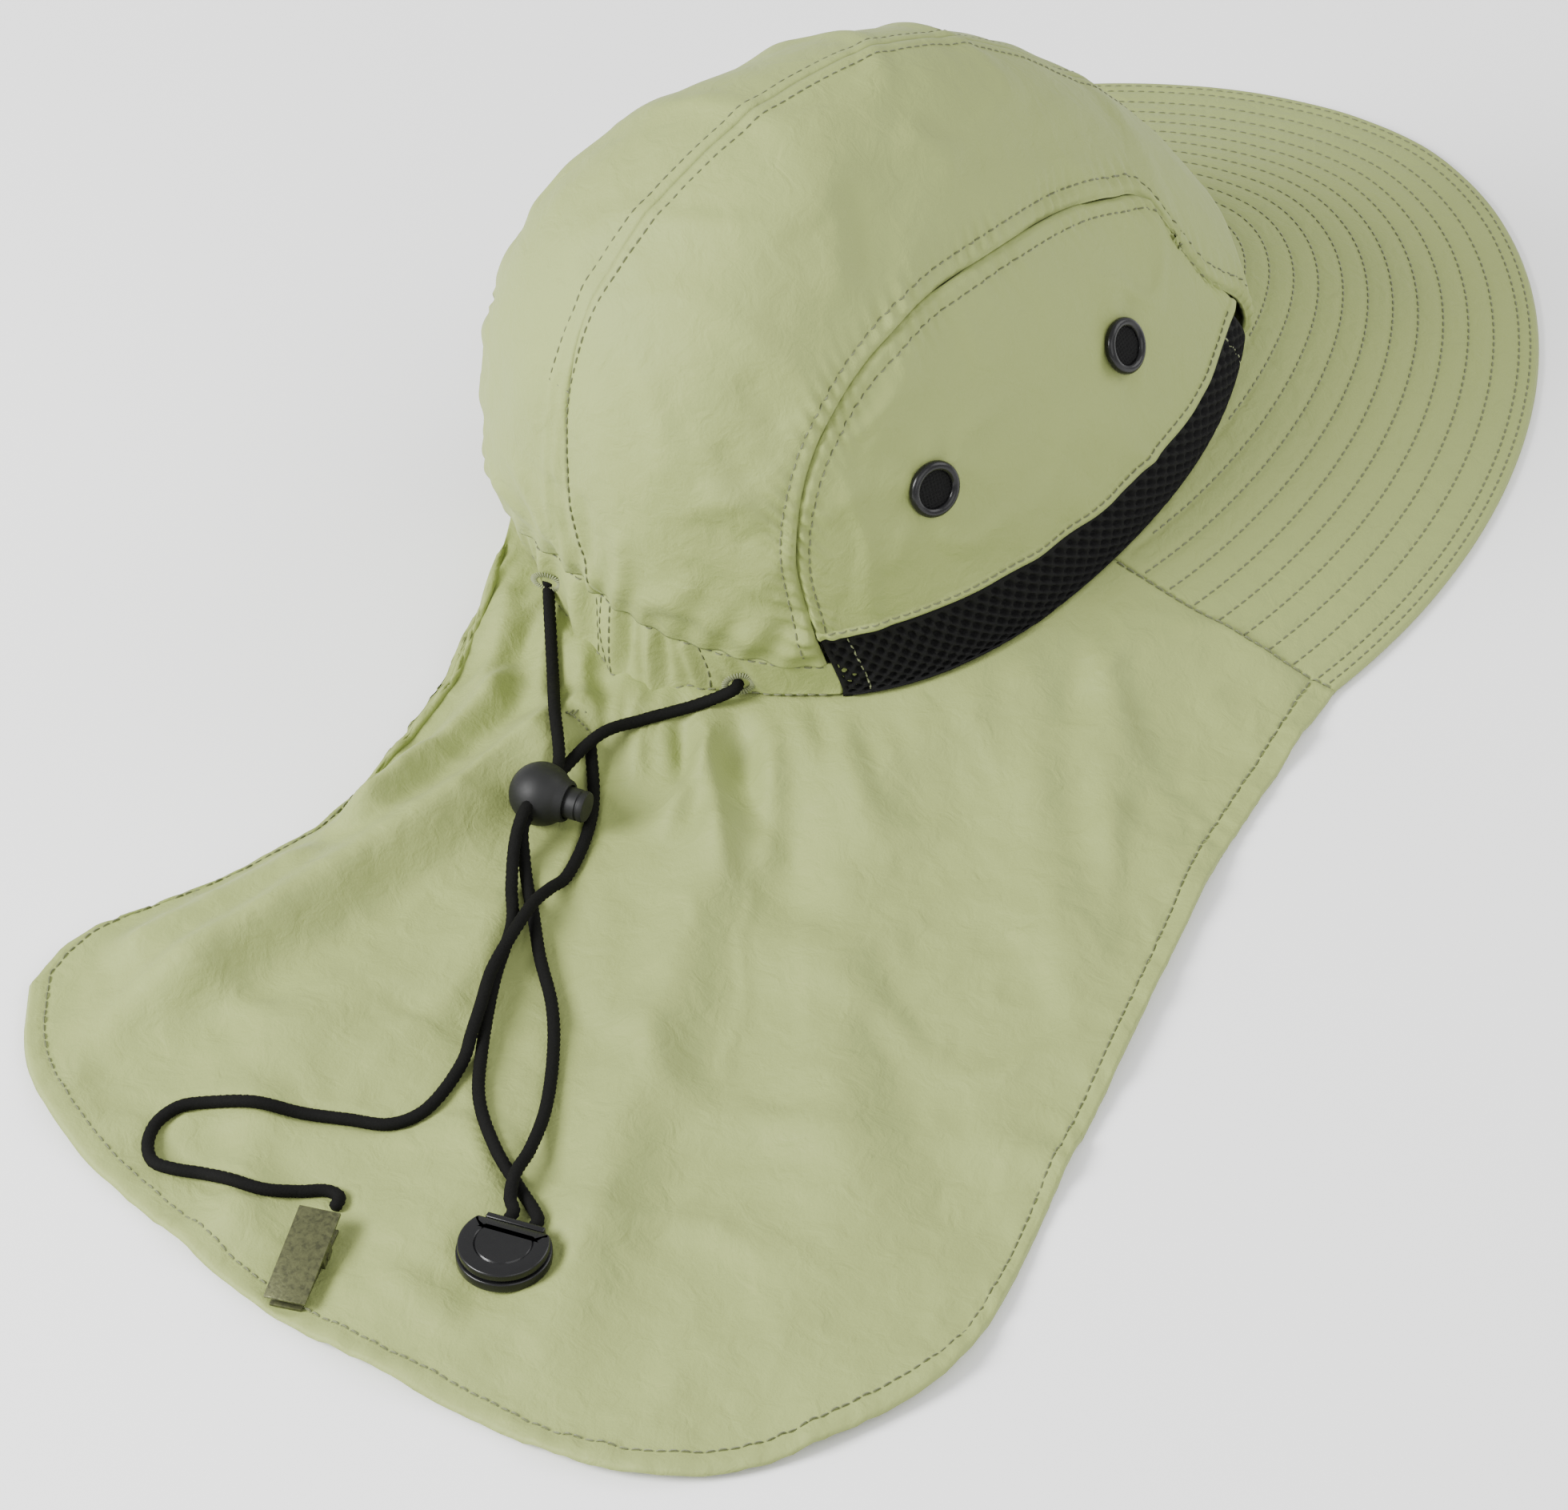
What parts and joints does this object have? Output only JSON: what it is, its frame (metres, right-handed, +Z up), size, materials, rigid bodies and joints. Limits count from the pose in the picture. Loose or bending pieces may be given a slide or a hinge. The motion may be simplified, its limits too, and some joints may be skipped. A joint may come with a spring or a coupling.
{
  "type": "sun hat",
  "caption": "Sage green sun hat with a stiff front brim, a neck flap, black mesh side bands and a draw cord with a ball lock and a safety clip.",
  "frame": {"origin": "centre of the head opening, projected straight down onto the surface that the hat lies on", "axes": "+X towards the front of the brim, +Y towards the wearer's left, +Z up out of the surface"},
  "size_m": [0.4861, 0.3643, 0.1388],
  "materials": {
    "sage_cloth": "matte",
    "black_mesh": "matte",
    "black_plastic": "satin",
    "black_cord": "matte",
    "old_brass": "satin"
  },
  "bodies": {
    "hat": {"crown_panel_left": "sage_cloth", "crown_panel_right": "sage_cloth", "side_panel_left": "sage_cloth", "side_panel_right": "sage_cloth", "back_band": "sage_cloth", "brim": "sage_cloth", "neck_flap": "sage_cloth", "mesh_band_left": "black_mesh", "mesh_band_right": "black_mesh", "eyelet_front_left": "black_plastic", "eyelet_front_right": "black_plastic", "eyelet_rear_left": "black_plastic", "eyelet_rear_right": "black_plastic", "cord_lock_body": "black_plastic", "snap_clip_base": "black_plastic", "draw_cord_upper_left": "black_cord", "draw_cord_upper_right": "black_cord", "draw_cord_lower_left": "black_cord", "draw_cord_lower_right": "black_cord", "clip_cord": "black_cord", "brass_clip_lower": "old_brass"},
    "lock_button": {"cord_lock_button": "black_plastic"},
    "snap_lid": {"snap_clip_lid": "black_plastic"},
    "clip_jaw": {"brass_clip_upper": "old_brass"}
  },
  "joints": [
    {"name": "lock_button_slide", "type": "slide", "parent": "hat", "child": "lock_button", "axis": [-0.4067, 0.9135, 0], "range_m": [0, 0.0025], "stiffness_N_per_m": 300},
    {"name": "snap_lid_hinge", "type": "hinge", "parent": "hat", "child": "snap_lid", "pos_m": [-0.23922, -0.13981, 0.01098], "axis": [-0.454, 0.891, 0], "range_deg": [0, 60]},
    {"name": "clip_jaw_hinge", "type": "hinge", "parent": "hat", "child": "clip_jaw", "pos_m": [-0.27538, -0.11148, 0.00557], "axis": [-0.5299, 0.848, 0], "range_deg": [0, 18], "stiffness_Nm_per_rad": 0.05}
  ]
}
